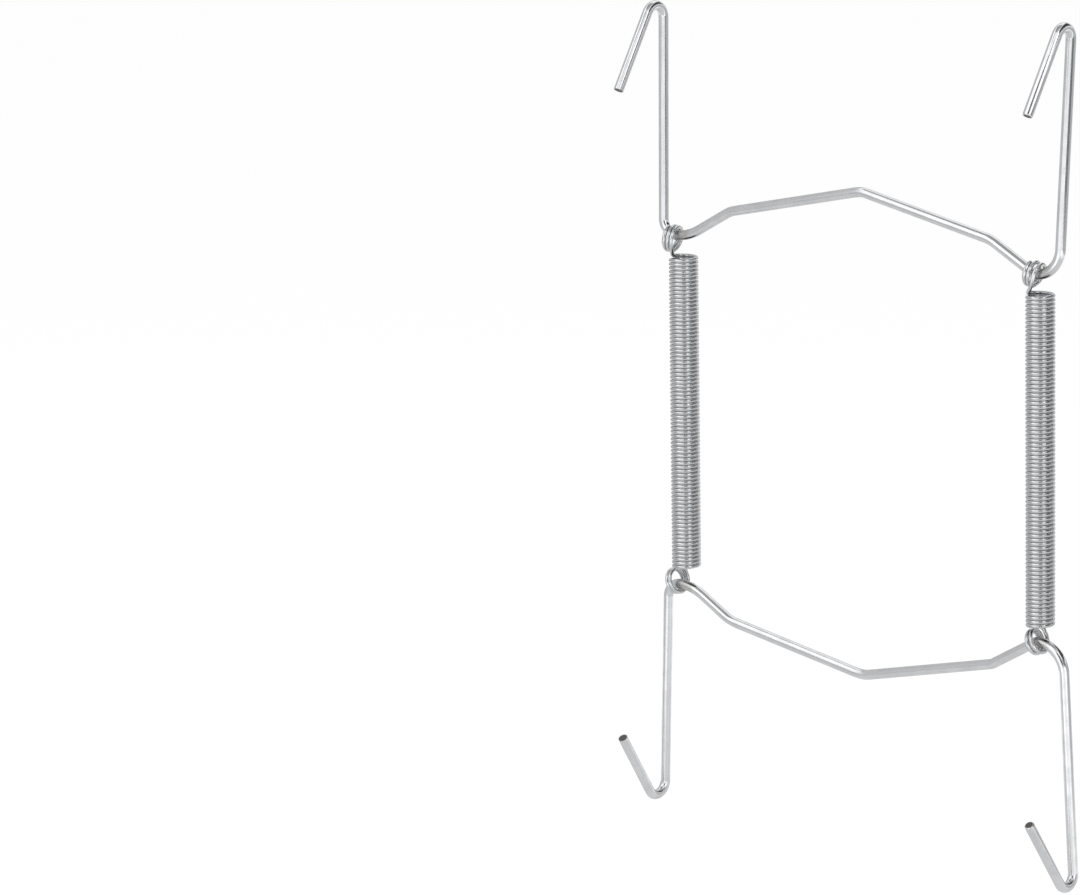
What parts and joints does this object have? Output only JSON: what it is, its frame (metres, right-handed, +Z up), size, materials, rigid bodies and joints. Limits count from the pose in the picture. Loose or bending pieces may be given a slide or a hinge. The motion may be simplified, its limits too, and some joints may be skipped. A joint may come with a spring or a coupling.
{
  "type": "plate hanger",
  "caption": "Spring plate hanger: two bent wire frames with forward hooks and a peaked arch each, drawn together by extension springs.",
  "frame": {"origin": "nail rest: the underside of the upper arch at its peak", "axes": "+X to the right as seen from the front, +Z up, hooks forward to -Y"},
  "size_m": [0.0992, 0.0168, 0.158],
  "materials": {
    "frame_wire": "bright plated steel wire with fine drawing lines",
    "spring_wire": "bright plated spring wire, a little duller than the frames"
  },
  "bodies": {
    "upper_frame": {"upper_wire": "frame_wire"},
    "upper_spring_ends": {"left_spring": "spring_wire"},
    "lower_spring_ends": {"right_spring": "spring_wire"},
    "lower_frame": {"lower_wire": "frame_wire"}
  },
  "joints": [
    {"name": "upper_swing", "type": "hinge", "parent": "upper_frame", "child": "upper_spring_ends", "pos_m": [0, 0, -0.01091], "axis": [1, 0, 0], "range_deg": [-90, 90]},
    {"name": "spring_stretch", "type": "slide", "parent": "upper_spring_ends", "child": "lower_spring_ends", "axis": [0, 0, -1], "range_m": [0, 0.08], "stiffness_N_per_m": 590, "springref_m": -0.01, "deforming": ["left_spring", "right_spring"]},
    {"name": "lower_swing", "type": "hinge", "parent": "lower_spring_ends", "child": "lower_frame", "pos_m": [0, 0, -0.07868], "axis": [1, 0, 0], "range_deg": [-90, 90]}
  ]
}
